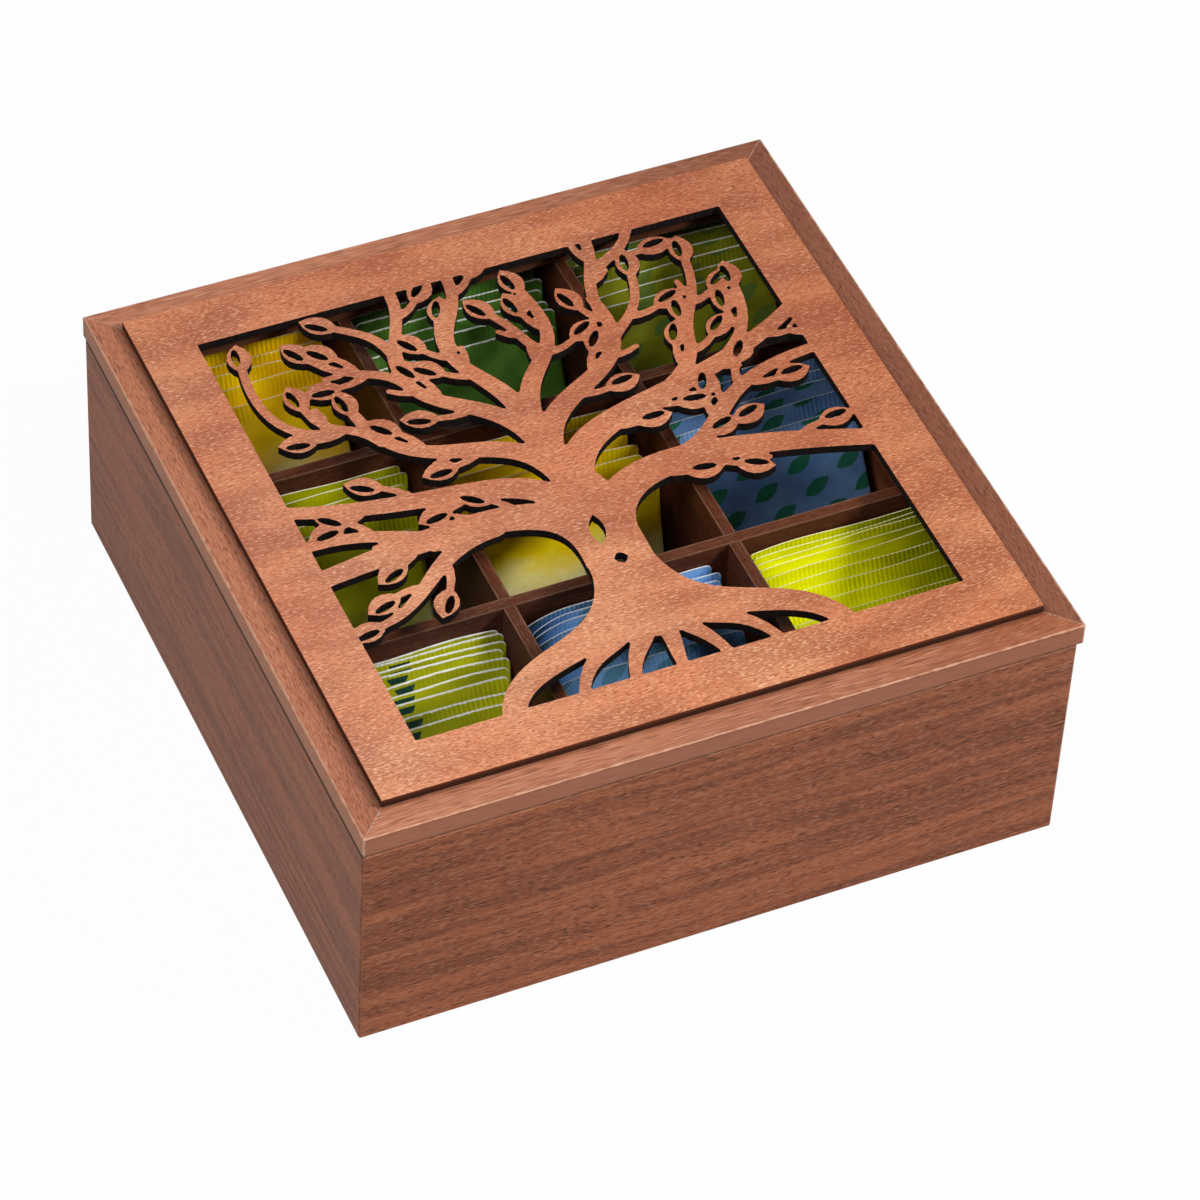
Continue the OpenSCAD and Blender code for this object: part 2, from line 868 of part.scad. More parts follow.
front_wall();
back_wall();
left_wall();
right_wall();
base_panel();
front_divider();
rear_divider();
left_divider();
right_divider();
left_hinge_box_leaf();
right_hinge_box_leaf();
left_hinge_pin();
right_hinge_pin();
box_hinge_screws();
sachets_front_left();
sachets_front_middle();
sachets_front_right();
sachets_centre_left();
sachets_centre_middle();
sachets_centre_right();
sachets_rear_left();
sachets_rear_middle();
sachets_rear_right();
lid_front_rail();
lid_back_rail();
lid_left_rail();
lid_right_rail();
window_pane();
fretwork_panel();
left_hinge_lid_leaf();
right_hinge_lid_leaf();
lid_hinge_screws();
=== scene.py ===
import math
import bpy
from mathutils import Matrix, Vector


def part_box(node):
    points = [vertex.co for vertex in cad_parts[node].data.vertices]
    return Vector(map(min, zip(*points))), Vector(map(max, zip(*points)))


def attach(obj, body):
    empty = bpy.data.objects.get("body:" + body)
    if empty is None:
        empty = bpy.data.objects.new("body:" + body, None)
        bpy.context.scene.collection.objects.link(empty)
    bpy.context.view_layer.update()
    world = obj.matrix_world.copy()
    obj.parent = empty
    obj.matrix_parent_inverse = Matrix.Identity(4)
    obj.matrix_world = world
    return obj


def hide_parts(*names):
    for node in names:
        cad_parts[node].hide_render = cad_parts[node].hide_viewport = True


bl_info = {
    "name": "Tea bag organizer box",
    "version": (1, 0, 0),
    "blender": (4, 5, 0),
    "location": "3D View > Sidebar > Tea box",
    "description": "Finishes for a wooden tea box, and the foil sachets in its compartments",
    "category": "Object",
}

from typing import NamedTuple

import bpy
import numpy as np
from bpy.props import FloatProperty, FloatVectorProperty, PointerProperty
from mathutils import Matrix, Vector

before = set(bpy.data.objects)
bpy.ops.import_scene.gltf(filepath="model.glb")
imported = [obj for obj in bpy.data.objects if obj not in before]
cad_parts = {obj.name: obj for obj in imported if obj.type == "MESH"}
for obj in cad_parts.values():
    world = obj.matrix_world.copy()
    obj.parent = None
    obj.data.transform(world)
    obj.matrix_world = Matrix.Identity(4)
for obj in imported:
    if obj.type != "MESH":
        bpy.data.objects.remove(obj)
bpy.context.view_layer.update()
MM = 0.001
BLACK = (0.0, 0.0, 0.0, 1.0)
WHITE = (1.0, 1.0, 1.0, 1.0)
GAP_SHADE = (0.04, 0.016, 0.009, 1.0)  # painted shade of the gap between box and lid
MITRE_LINE = (0.55, 0.42, 0.34, 1.0)  # pale line of a mitre joint

BOX_LOW, BOX_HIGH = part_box("front_wall")[0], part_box("back_wall")[1]
LID_LOW, LID_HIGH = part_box("lid_front_rail")[0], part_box("lid_back_rail")[1]
PANEL_LOW, PANEL_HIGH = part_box("fretwork_panel")
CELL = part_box("rear_divider")[0].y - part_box("front_divider")[1].y  # width of a compartment
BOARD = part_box("rear_divider")[1].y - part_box("rear_divider")[0].y  # thickness of a divider


def tone(red, green, blue):
    """A display colour of 0 to 255 per channel as linear values: ((c + 0.055) / 1.055) to
    the power 2.4, or c / 12.92 where c is dark."""
    parts = np.array((red, green, blue)) / 255
    return tuple(np.where(parts > 0.04045, ((parts + 0.055) / 1.055) ** 2.4, parts / 12.92))


# ---------------------------------------------------------------- settings


def colour(name, description, *rgb):
    return FloatVectorProperty(
        name=name, description=description, subtype="COLOR", size=3, min=0, max=1, default=tone(*rgb)
    )


def length(name, description, millimetres):
    return FloatProperty(
        name=name, description=description, unit="LENGTH", default=millimetres * MM, min=0, precision=5
    )


def power(name, description, watts):
    return FloatProperty(name=name, description=description, unit="POWER", default=watts, min=0)


class WoodFinish(bpy.types.PropertyGroup):
    veneer_light: colour("Veneer, light", "Light bands of the stained veneer", 173, 99, 62)
    veneer_dark: colour("Veneer, dark", "Dark bands of the stained veneer", 119, 62, 37)
    veneer_pore: colour("Veneer, pores", "Stain that sits in the pores", 62, 30, 18)
    rail_light: colour("Rails, light", "Light bands of the lid rails", 200, 130, 97)
    rail_dark: colour("Rails, dark", "Dark bands of the lid rails", 158, 96, 70)
    front_band: colour("Front edge band", "Edge band of the front and back rails", 161, 101, 75)
    side_band: colour("Side edge band", "Edge band of the side rails", 182, 116, 80)
    divider_light: colour("Dividers, light", "Light bands of the divider wood", 102, 53, 31)
    divider_dark: colour("Dividers, dark", "Dark bands of the divider wood", 66, 32, 18)
    plywood_light: colour("Plywood, light", "Light flecks of the pierced panel", 210, 131, 90)
    plywood_dark: colour("Plywood, dark", "Dark flecks of the pierced panel", 158, 86, 57)
    burnt: colour("Burnt edge", "Edges that the laser charred", 7, 2, 1)
    singed: colour("Singed edge", "Paler streaks in the charred edges", 50, 15, 7)
    # The scorched colour is also that of the painted shade at the panel's foot on the rails
    scorched: colour("Scorched edge", "Outer edges of the pierced panel", 70, 37, 21)
    # Pale colour and width of the painted highlight along the corners, where eased edges catch the light
    glinting: colour("Glinting edge", "Varnish rubbed pale along the corners", 236, 190, 160)
    glint_width: length("Edge wear", "Width of the rubbed corners", 0.6)


class MetalFinish(bpy.types.PropertyGroup):
    brass: colour("Brass", "Hinge leaves", 186, 150, 84)
    tarnish: colour("Tarnish", "Dull patches of the brass", 122, 92, 48)
    pin: colour("Pin and screws", "Brighter brass of pins and screws", 214, 180, 112)


class SachetFinish(bpy.types.PropertyGroup):
    height: length("Height", "Height of a sachet", 76)
    side_room: length("Room beside", "Room beside a sachet in its compartment", 6.7)
    crimp: length("Crimp", "Height of the crimped bands", 7)
    thin: length("Crimp thickness", "Room of a crimped band between its neighbours", 0.7)
    sheet: length("Sheet", "Thickness of the sealed sheets", 0.3)
    belly: length("Belly", "Greatest thickness of a plump sachet", 5)
    gap: length("Gap", "Space kept between neighbouring sachets", 0.35)
    lift: length("Lift", "Height of a sachet over the base panel", 0.1)
    rib_pitch: length("Rib pitch", "Distance between two ribs of a crimped band", 1.6)
    wave: length("Wave", "How far a sachet's upper edge wanders", 0.55)
    corner: length("Corner", "Radius of a sachet's upper corners", 2)
    front_left: colour("Front left", "Foil of this stack", 190, 192, 12)
    front_middle: colour("Front middle", "Foil of this stack", 144, 198, 252)
    front_right: colour("Front right", "Foil of this stack", 246, 247, 0)
    centre_left: colour("Centre left", "Foil of this stack", 194, 194, 10)
    centre_middle: colour("Centre middle", "Foil of this stack", 254, 226, 0)
    centre_right: colour("Centre right", "Foil of this stack", 122, 160, 208)
    rear_left: colour("Rear left", "Foil of this stack", 255, 212, 0)
    rear_middle: colour("Rear middle", "Foil of this stack", 92, 138, 50)
    rear_right: colour("Rear right", "Foil of this stack", 150, 150, 32)
    paper: colour("Cut edge", "Paper that shows along the cut edges", 250, 250, 242)
    pale: colour("Pale print", "Pale part of the print on the faces", 238, 238, 196)
    leaf: colour("Leaf print", "Scattered leaves on some faces", 22, 106, 62)
    mark: colour("Eye mark", "Dark mark that guides the cutting of the foil", 26, 62, 50)


class StageSetup(bpy.types.PropertyGroup):
    floor: colour("Floor", "Floor and backdrop", 215, 215, 215)
    fill: FloatProperty(name="Fill", description="Strength of the light from all round", default=0.06, min=0)
    key: power("Key", "Soft box over the right front", 17.0)
    top: power("Top", "Large soft box over the left front", 11.5)
    glow: power("Glow", "Soft box over the back, whose sheen lies on the lid", 1.4)
    lens: FloatProperty(name="Lens", description="Focal length", unit="CAMERA", default=172.28, min=1)
    eye: FloatVectorProperty(
        name="Camera", description="Place of the camera", subtype="TRANSLATION", size=3,
        default=(-0.5531, -1.1492, 1.3688),
    )
    turn: FloatProperty(
        name="Turn", description="View direction, from the back to the right", subtype="ANGLE",
        default=math.radians(26.2045),
    )
    dip: FloatProperty(
        name="Dip", description="View direction below the horizon", subtype="ANGLE",
        default=math.radians(46.289),
    )
    roll: FloatProperty(
        name="Roll", description="Turn of the camera about its view", subtype="ANGLE",
        default=math.radians(3.5315),
    )


# ---------------------------------------------------------------- node kit


def add(tree, kind, inputs=None, **settings):
    """A new node. Settings are its properties, and inputs are values or links of its sockets."""
    node = tree.nodes.new(kind)
    for key, value in settings.items():
        setattr(node, key, value)
    for key, value in (inputs or {}).items():
        if isinstance(value, bpy.types.NodeSocket):
            tree.links.new(value, node.inputs[key])
        else:
            node.inputs[key].default_value = value
    return node


def maths(tree, operation, *values, clamp=False):
    return add(
        tree, "ShaderNodeMath", dict(enumerate(values)), operation=operation, use_clamp=clamp
    ).outputs[0]


def vector(tree, operation, *values):
    return add(tree, "ShaderNodeVectorMath", dict(enumerate(values)), operation=operation).outputs[0]


def step(tree, value, low, high, out_low=0.0, out_high=1.0):
    """A smooth step of value from out_low at low to out_high at high."""
    return add(
        tree, "ShaderNodeMapRange", {0: value, 1: low, 2: high, 3: out_low, 4: out_high},
        interpolation_type="SMOOTHSTEP",
    ).outputs[0]


def blend(tree, share, first, second, kind="MIX"):
    """Colour first, with the share of second laid over it."""
    return add(
        tree, "ShaderNodeMix", {0: share, 6: first, 7: second}, data_type="RGBA", blend_type=kind
    ).outputs[2]


def noise(tree, at, scale=1.0, detail=2.0, rough=0.5):
    return add(
        tree, "ShaderNodeTexNoise",
        {"Vector": at, "Scale": scale, "Detail": detail, "Roughness": rough},
    ).outputs["Fac"]


def parts_of(tree, at):
    return add(tree, "ShaderNodeSeparateXYZ", {0: at}).outputs


def joined(tree, x, y, z):
    return add(tree, "ShaderNodeCombineXYZ", {0: x, 1: y, 2: z}).outputs[0]


def rgba(value):
    return (*value, 1.0)


def new_group(name, inputs, outputs):
    """An empty shader group, with sockets given as name: default value."""
    group = bpy.data.node_groups.new(name, "ShaderNodeTree")
    kinds = {float: "NodeSocketFloat", int: "NodeSocketFloat", 3: "NodeSocketVector", 4: "NodeSocketColor"}
    for sockets, way in ((inputs, "INPUT"), (outputs, "OUTPUT")):
        for label, value in sockets.items():
            kind = kinds[type(value) if isinstance(value, (float, int)) else len(value)]
            socket = group.interface.new_socket(label, in_out=way, socket_type=kind)
            if way == "INPUT":
                socket.default_value = value
    return group, group.nodes.new("NodeGroupInput").outputs, group.nodes.new("NodeGroupOutput").inputs


def use(tree, name, **inputs):
    """Places a shader group. An underscore stands for a space in its sockets' names."""
    node = add(
        tree, "ShaderNodeGroup",
        {key.replace("_", " "): value for key, value in inputs.items()},
        node_tree=bpy.data.node_groups[name],
    )
    return node.outputs


def new_material(name, **shader):
    """A material with a Principled BSDF whose own sockets hold the constant values."""
    material = bpy.data.materials.new(name)
    material.use_nodes = True
    tree = material.node_tree
    principled = tree.nodes["Principled BSDF"]
    for key, value in shader.items():
        principled.inputs[key.replace("_", " ")].default_value = value
    return material, tree, principled


def connect(tree, principled, **sources):
    for key, source in sources.items():
        tree.links.new(source, principled.inputs[key.replace("_", " ")])


def relief(tree, principled, height, distance, strength=1.0):
    bump = add(tree, "ShaderNodeBump", {"Strength": strength, "Distance": distance, "Height": height})
    tree.links.new(bump.outputs[0], principled.inputs["Normal"])


def object_place(tree, turn=0.0, shift=(0, 0, 0)):
    """Object coordinates, turned about the upright axis so that X runs along the grain."""
    at = add(tree, "ShaderNodeTexCoord").outputs["Object"]
    return at, add(
        tree, "ShaderNodeMapping", {"Vector": at, "Location": shift, "Rotation": (0, 0, turn)}
    ).outputs[0]


def dress(material, *nodes):
    for name in nodes:
        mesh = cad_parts[name].data
        mesh.materials.clear()
        mesh.materials.append(material)


# ---------------------------------------------------------------- shared effects


def make_wood_grain():
    """Wood grain along X. Each layer is a noise whose place is divided by the length and width
    of one figure: broad bands, fine streaks, dark pores and light flecks."""
    group, given, result = new_group(
        "Wood grain",
        {
            "Vector": (0.0, 0.0, 0.0), "Light": WHITE, "Dark": BLACK,
            "Pore": BLACK, "Band length": 0.15, "Band width": 0.0042,
            "Streak length": 0.03, "Streak width": 0.0006, "Pore length": 0.0027, "Pore width": 0.0004,
            "Pore share": 0.5, "Fleck share": 0.3, "Contrast": 1.0,
        },
        {"Colour": BLACK, "Height": 0.0, "Roughness": 0.0},
    )

    def layer(run, wide, detail, shift=0.0):
        size = joined(group, given[run], given[wide], given[wide])
        place = vector(group, "DIVIDE", bent, size)
        if shift:
            place = vector(group, "ADD", place, (shift, shift, shift))
        return noise(group, place, detail=detail)

    slow = vector(group, "DIVIDE", given["Vector"], (0.13, 0.035, 0.035))
    wander = maths(group, "MULTIPLY_ADD", noise(group, slow, detail=1), 0.012, -0.006)
    bent = vector(group, "ADD", given["Vector"], joined(group, 0.0, wander, wander))
    bands = step(group, layer("Band length", "Band width", 1.5), 0.33, 0.67)
    streaks = step(group, layer("Streak length", "Streak width", 2, 7.3), 0.3, 0.7)
    mixed = maths(group, "MULTIPLY_ADD", bands, 0.6, maths(group, "MULTIPLY", streaks, 0.4))
    spread = maths(
        group, "MULTIPLY_ADD", maths(group, "SUBTRACT", mixed, 0.5), given["Contrast"], 0.5, clamp=True
    )
    body = blend(group, spread, given["Dark"], given["Light"])
    pores = step(group, layer("Pore length", "Pore width", 0, 3.1), 0.54, 0.74)
    flecks = step(group, layer("Pore length", "Pore width", 0, 11.7), 0.54, 0.76)
    pored = blend(group, maths(group, "MULTIPLY", pores, given["Pore share"]), body, given["Pore"])
    bright = blend(group, 0.3, given["Light"], (1.0, 0.7, 0.48, 1.0))
    flecked = maths(group, "MULTIPLY", flecks, given["Fleck share"])
    group.links.new(blend(group, flecked, pored, bright), result["Colour"])
    height = maths(group, "MULTIPLY_ADD", pores, -1.0, maths(group, "MULTIPLY", streaks, 0.35))
    group.links.new(height, result["Height"])
    group.links.new(maths(group, "MULTIPLY", pores, 0.12), result["Roughness"])


def make_edge_glint():
    """Painted highlight along the corners of a block, where eased edges catch the light: the place's distance
    from each pair of faces is the half size less its distance from the centre, and the second smallest of the
    three is small at an edge."""
    group, given, result = new_group(
        "Edge wear",
        {"Vector": (0.0, 0.0, 0.0), "Centre": (0.0, 0.0, 0.0), "Half size": (0.1, 0.1, 0.1), "Width": 0.0006},
        {"Mask": 0.0},
    )
    apart = vector(group, "ABSOLUTE", vector(group, "SUBTRACT", given["Vector"], given["Centre"]))
    x, y, z = parts_of(group, vector(group, "SUBTRACT", given["Half size"], apart))
    second = maths(
        group, "MAXIMUM", maths(group, "MINIMUM", x, y),
        maths(group, "MINIMUM", maths(group, "MAXIMUM", x, y), z),
    )
    broken = noise(group, given["Vector"], scale=260.0, detail=3)
    reach = maths(group, "MULTIPLY", given["Width"], maths(group, "MULTIPLY_ADD", broken, 2.4, -0.2))
    share = maths(group, "DIVIDE", second, maths(group, "MAXIMUM", reach, 1e-5))
    group.links.new(step(group, share, 1.0, 0.3), result["Mask"])


def make_mitre_line():
    """Fine joint lines on the diagonals: the mask is 1 where |x| and |y| from the centre agree.
    Other is 1 on the right piece of the frame, and grows along the back piece to it."""
    group, given, result = new_group(
        "Mitre line", {"Vector": (0.0, 0.0, 0.0), "Centre": (0.0, 0.0, 0.0), "Width": 0.2 * MM},
        {"Mask": 0.0, "Other": 0.0},
    )
    place = vector(group, "SUBTRACT", given["Vector"], given["Centre"])
    x, y, _z = parts_of(group, vector(group, "ABSOLUTE", place))
    to_right, to_back, _up = parts_of(group, place)
    right = step(group, maths(group, "SUBTRACT", to_right, y), 0.0, 0.2 * MM)
    back = maths(group, "MULTIPLY", step(group, to_back, 0.05, 0.06), step(group, to_right, -0.01, 0.12))
    group.links.new(maths(group, "MAXIMUM", right, maths(group, "MULTIPLY", back, 0.75)), result["Other"])
    across = maths(group, "DIVIDE", maths(group, "ABSOLUTE", maths(group, "SUBTRACT", x, y)), given["Width"])
    group.links.new(step(group, across, 1.4, 0.4), result["Mask"])


def make_metal_patina():
    """Dull patches and fine scratches of handled brass, from a broad and a stretched noise."""
    group, given, result = new_group(
        "Metal patina", {"Vector": (0.0, 0.0, 0.0)}, {"Patch": 0.0, "Scratch": 0.0}
    )
    group.links.new(step(group, noise(group, given["Vector"], 420.0, 4), 0.45, 0.7), result["Patch"])
    drawn = vector(group, "MULTIPLY", given["Vector"], (150.0, 5200.0, 5200.0))
    group.links.new(step(group, noise(group, drawn, 1.0, 2), 0.4, 0.75), result["Scratch"])


def make_foil_wrapper():
    """Masks of a foil sachet. Label is the place on it, across and up, in metres. The crimped
    bands are within Crimp of both ends, their ribs are a cosine of the place across, and the cut
    edge is a strip of wandering width along the top."""
    group, given, result = new_group(
        "Foil wrapper",
        {
            "Label": (0.0, 0.0, 0.0), "Own": 0.0, "Height": 0.076, "Crimp": 0.007,
            "Rib pitch": 0.0016, "Edge width": 0.0006, "Pale from": 0.5, "Pale share": 0.0,
        },
        {"Cut edge": 0.0, "Rib": 0.0, "Shade": 0.0, "Pale": 0.0, "Relief": 0.0, "Leaf": 0.0, "Mark": 0.0},
    )
    across, up, _z = parts_of(group, given["Label"])
    own_shift = joined(group, maths(group, "MULTIPLY", given["Own"], 3.7), 0.0, given["Own"])
    place = vector(group, "ADD", given["Label"], own_shift)
    from_top = maths(group, "SUBTRACT", given["Height"], up)
    end = maths(group, "MINIMUM", from_top, up)
    band = step(group, end, given["Crimp"], maths(group, "MULTIPLY", given["Crimp"], 0.9))
    waves = maths(group, "DIVIDE", maths(group, "MULTIPLY", across, 2 * math.pi), given["Rib pitch"])
    pressing = noise(group, vector(group, "MULTIPLY", place, (24.0, 30.0, 30.0)), 1.0, 1)
    pressed = step(group, pressing, 0.36, 0.62, 0.2, 1.0)
    ribs = maths(group, "MULTIPLY", maths(group, "MULTIPLY", maths(group, "COSINE", waves), pressed), band)
    group.links.new(ribs, result["Rib"])
    ragged = noise(group, vector(group, "MULTIPLY", place, (420.0, 40.0, 40.0)), 1.0, 3, 0.6)
    strip = maths(group, "MULTIPLY", given["Edge width"], maths(group, "MULTIPLY", ragged, 2.2))
    group.links.new(step(group, maths(group, "DIVIDE", from_top, strip), 1.1, 0.85), result["Cut edge"])
    soft = noise(group, vector(group, "MULTIPLY", place, (45.0, 60.0, 60.0)), 1.0, 3)
    group.links.new(soft, result["Shade"])
    depth = maths(group, "DIVIDE", from_top, given["Height"])
    cloud = maths(group, "MULTIPLY_ADD", soft, 0.5, maths(group, "SUBTRACT", depth, 0.25))
    pale = step(group, maths(group, "SUBTRACT", cloud, given["Pale from"]), -0.16, 0.16)
    group.links.new(maths(group, "MULTIPLY", pale, given["Pale share"]), result["Pale"])
    creases = noise(group, vector(group, "MULTIPLY", place, (70.0, 150.0, 100.0)), 1.0, 4, 0.55)
    raised = maths(group, "MULTIPLY", ribs, 0.32)
    group.links.new(maths(group, "MULTIPLY_ADD", creases, 2.2, raised), result["Relief"])
    # Scattered leaves: each cell of a slanted grid holds one oval
    slant = joined(
        group,
        maths(group, "MULTIPLY_ADD", across, 62.0, maths(group, "MULTIPLY", up, 30.0)),
        maths(group, "MULTIPLY_ADD", up, 88.0, maths(group, "MULTIPLY", across, -44.0)),
        0.0,
    )
    cell = vector(group, "SUBTRACT", vector(group, "FRACTION", slant), (0.5, 0.5, 0.0))
    cell_x, cell_y, _z = parts_of(group, cell)
    wide = maths(group, "SUBTRACT", 0.26, maths(group, "MULTIPLY", maths(group, "POWER", cell_x, 2.0), 1.9))
    within = maths(group, "SUBTRACT", wide, maths(group, "ABSOLUTE", cell_y))
    group.links.new(step(group, within, 0.0, 0.03), result["Leaf"])
    # Eye mark: a bar 2.4 mm high in the upper band, which narrows downwards
    beside = maths(group, "ABSOLUTE", maths(group, "SUBTRACT", across, 0.0315))
    slanted = maths(group, "MULTIPLY_ADD", from_top, 0.5, beside)
    away = maths(group, "ABSOLUTE", maths(group, "SUBTRACT", from_top, 0.0028))
    mark = maths(group, "MULTIPLY", step(group, slanted, 0.0046, 0.0043), step(group, away, 0.0013, 0.0011))
    group.links.new(mark, result["Mark"])


SHARED_EFFECTS = {
    "Wood grain": make_wood_grain,
    "Edge wear": make_edge_glint,
    "Mitre line": make_mitre_line,
    "Metal patina": make_metal_patina,
    "Foil wrapper": make_foil_wrapper,
}


def need(*names):
    """Builds the shared effects that are missing."""
    for name in names:
        if name not in bpy.data.node_groups:
            SHARED_EFFECTS[name]()


# ---------------------------------------------------------------- wood


def middle(low, high):
    return [(a + b) / 2 for a, b in zip(low, high)]


def half(low, high):
    return [(b - a) / 2 for a, b in zip(low, high)]


def off_middle(tree, at, low, high):
    """How far a place is from the middle of a block along X or along Y, whichever is more."""
    x, y, _z = parts_of(tree, vector(tree, "ABSOLUTE", vector(tree, "SUBTRACT", at, middle(low, high))))
    return maths(tree, "MAXIMUM", x, y)


def flatness(tree):
    """1 on a face that lies flat, and 0 on an upright one."""
    normal = add(tree, "ShaderNodeTexCoord").outputs["Normal"]
    return maths(tree, "ABSOLUTE", parts_of(tree, normal)[2])


def outer_faces(tree, at, block):
    """1 on the outer faces of a square block, and 0 further in than 1.2 mm."""
    edge = half(*block)[0]
    return step(tree, off_middle(tree, at, *block), edge - 1.2 * MM, edge - 0.8 * MM)


def rail_details(tree, at, shown, band, far, lip):
    """Adds to a rail's colour the tone of its place in the frame, the painted shade at the panel's foot,
    the edge band of its outer face and the pale line of its mitres."""
    finish = bpy.context.scene.tea_wood
    centre = middle(LID_LOW, LID_HIGH)
    joint = use(tree, "Mitre line", Vector=at, Centre=centre, Width=0.22 * MM)
    to_right, to_back, height = parts_of(tree, vector(tree, "SUBTRACT", at, centre))
    # The front rail reddens to the right, and the right rail is darker as a whole
    ruddy = maths(tree, "MULTIPLY", step(tree, to_right, 0.03, 0.11), step(tree, to_back, -0.085, -0.1))
    reddened = blend(tree, ruddy, shown, (0.8, 0.7, 0.62, 1.0), "MULTIPLY")
    shown = blend(tree, joint["Other"], reddened, blend(tree, 1.0, shown, rgba(far), "MULTIPLY"))
    below = maths(tree, "SUBTRACT", half(LID_LOW, LID_HIGH)[2], height)
    # Painted shade on the rail where the panel stands on it, in the colour of the scorched edge
    foot = half(PANEL_LOW, PANEL_HIGH)[0]
    beside = step(tree, off_middle(tree, at, LID_LOW, LID_HIGH), foot + 2 * MM, foot + 0.3 * MM, 0, 0.5)
    shade = maths(tree, "MULTIPLY", beside, step(tree, below, 0.4 * MM, 0.2 * MM))
    shown = blend(tree, shade, shown, rgba(finish.scorched))
    outer = outer_faces(tree, at, (LID_LOW, LID_HIGH))
    edge = blend(tree, outer, rgba(finish.divider_dark), rgba(band))
    edge = blend(tree, step(tree, below, 1.3 * MM, 0.8 * MM, 0, lip), edge, rgba(finish.divider_dark))
    shown = blend(tree, step(tree, flatness(tree), 0.6, 0.3, 0, 0.75), shown, edge)
    ragged = step(tree, noise(tree, at, 900.0, 2), 0.4, 0.6)
    line = maths(tree, "MULTIPLY", joint["Mask"], maths(tree, "MULTIPLY_ADD", ragged, 0.5, 0.2))
    return blend(tree, line, shown, MITRE_LINE)


def veneer(
    name, light, dark, pore, turn, block, shift=(0, 0, 0), band=None, far=(0.52, 0.49, 0.49), lip=0.0,
    rough=0.42, gloss=0.3, glint_share=0.3, seam=0.0, dark_seam=0.85, **grain,
):
    """Varnished wood. block is the low and high corner of the body along whose corners a highlight is
    painted, and glint_share is how much. seam is how far from the joint of lid and box the outer faces
    are painted dark with the shade of the gap between them, and dark_seam is how much. Only a rail has
    a band, which is the colour of its edge band. far tints the rail at the right, and lip darkens the
    outer face right under its upper edge."""
    finish = bpy.context.scene.tea_wood
    need("Wood grain", "Edge wear", "Mitre line")
    material, tree, principled = new_material(name, Specular_IOR_Level=gloss)
    at, along = object_place(tree, turn, shift)
    wood = use(tree, "Wood grain", Vector=along, Light=rgba(light), Dark=rgba(dark), Pore=rgba(pore), **grain)
    painted_glint = use(
        tree, "Edge wear", Vector=at, Centre=middle(*block), Half_size=half(*block), Width=finish.glint_width
    )["Mask"]
    shown = rail_details(tree, at, wood["Colour"], band, far, lip) if band else wood["Colour"]
    # Painted highlight along the corners, where eased edges catch the light
    shown = blend(tree, maths(tree, "MULTIPLY", painted_glint, glint_share), shown, rgba(finish.glinting))
    if seam:
        # Painted shade of the gap between lid and box, on the outer faces along their joint
        away = maths(tree, "ABSOLUTE", maths(tree, "SUBTRACT", parts_of(tree, at)[2], LID_LOW.z))
        stained = step(tree, away, seam + 0.2 * MM, seam - 0.1 * MM, 0, dark_seam)
        stained = maths(tree, "MULTIPLY", outer_faces(tree, at, block), stained)
        shown = blend(tree, stained, shown, GAP_SHADE)
    connect(tree, principled, Base_Color=shown, Roughness=maths(tree, "ADD", wood["Roughness"], rough))
    relief(tree, principled, wood["Height"], 0.06 * MM, 0.6)
    return material


class TEABOX_OT_walls(bpy.types.Operator):
    """Veneer the four mitred walls and finish the base panel"""

    bl_idname = "teabox.walls"
    bl_label = "Box walls and base"

    def execute(self, context):
        wood = context.scene.tea_wood
        tones = (wood.veneer_light, wood.veneer_dark, wood.veneer_pore)
        block = (BOX_LOW, BOX_HIGH)
        dress(
            veneer(
                "Front and back veneer", *tones, 0.0, block, gloss=0.17, glint_share=0.1,
                Pore_share=0.65, Fleck_share=0.32, Contrast=1.05,
            ),
            "front_wall", "back_wall",
        )
        dress(
            veneer(
                "Side veneer", *tones, math.pi / 2, block, (0.4, 0.2, 0), gloss=0.15, glint_share=0.1,
                seam=0.9 * MM, Pore_share=0.34, Fleck_share=0.12,
            ),
            "left_wall", "right_wall",
        )
        dress(
            veneer(
                "Base board", wood.divider_light, wood.divider_dark, wood.veneer_pore, 0.0,
                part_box("base_panel"), (0, 0, 0.3), rough=0.6, Band_width=0.03, Pore_share=0.3,
            ),
            "base_panel",
        )
        return {"FINISHED"}


class TEABOX_OT_dividers(bpy.types.Operator):
    """Finish the four boards of the divider grid, with a painted highlight along their upper edges"""

    bl_idname = "teabox.dividers"
    bl_label = "Divider grid"

    def execute(self, context):
        wood = context.scene.tea_wood
        for name, turn in (("front", 0), ("rear", 0), ("left", math.pi / 2), ("right", math.pi / 2)):
            node = name + "_divider"
            dress(
                veneer(
                    name.capitalize() + " divider wood", wood.divider_light, wood.divider_dark,
                    wood.veneer_pore, turn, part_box(node), (0.1 * len(name), 0.3, 0), rough=0.52,
                    gloss=0.12, glint_share=0.1, Band_width=0.01, Streak_width=0.0007, Pore_share=0.4, Fleck_share=0.1,
                ),
                node,
            )
        return {"FINISHED"}


